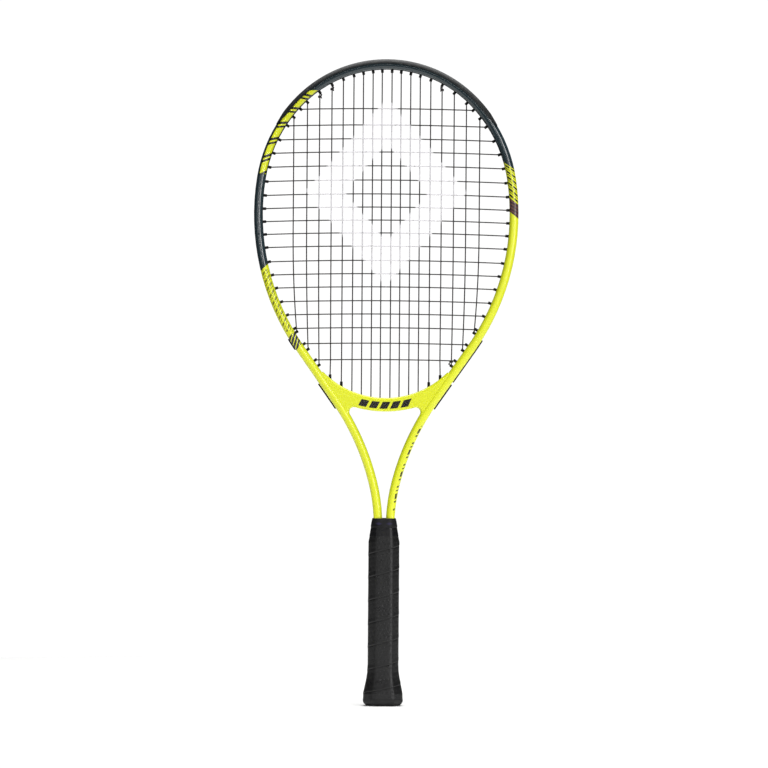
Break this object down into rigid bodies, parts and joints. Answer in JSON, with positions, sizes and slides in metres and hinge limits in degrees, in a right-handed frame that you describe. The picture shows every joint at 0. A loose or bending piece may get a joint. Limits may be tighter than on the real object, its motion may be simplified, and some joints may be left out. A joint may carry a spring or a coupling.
{
  "type": "tennis racket",
  "caption": "Full-size open-throat tennis racket with a bent grooved tube frame, moulded yoke, woven strings, grommet strips and a wrapped octagonal handle.",
  "frame": {"origin": "centre of the butt's underside", "axes": "+Z from the butt to the tip of the head, +X across the string bed to the right seen from the front, +Y through the face, away from a viewer in front"},
  "size_m": [0.2806, 0.0396, 0.6858],
  "materials": {
    "frame_paint": "gloss",
    "yoke_plastic": "gloss",
    "grommet_plastic": "satin",
    "string_main": "satin",
    "grip_wrap": "matte",
    "tape": "satin",
    "collar_rubber": "matte",
    "handle_foam": "matte",
    "cap_plastic": "satin",
    "badge_plastic": "gloss",
    "staple_steel": "satin"
  },
  "bodies": {
    "root": {"frame_tube": "frame_paint", "throat_yoke": "yoke_plastic", "bumper_guard": "grommet_plastic", "grommet_strip_right": "grommet_plastic", "grommet_strip_left": "grommet_plastic", "shoulder_grommet_right": "grommet_plastic", "shoulder_grommet_left": "grommet_plastic", "throat_grommet_strip": "grommet_plastic", "main_string": "string_main", "cross_string": "string_main", "main_knot_right": "string_main", "main_knot_left": "string_main", "cross_start_knot": "string_main", "cross_end_knot": "string_main", "handle_pallet_front": "handle_foam", "handle_pallet_back": "handle_foam", "butt_cap": "cap_plastic", "butt_badge": "badge_plastic", "cap_staples": "staple_steel", "grip_tack": "staple_steel", "base_grip": "grip_wrap", "finishing_tape": "tape", "grip_collar": "collar_rubber"}
  },
  "joints": []
}
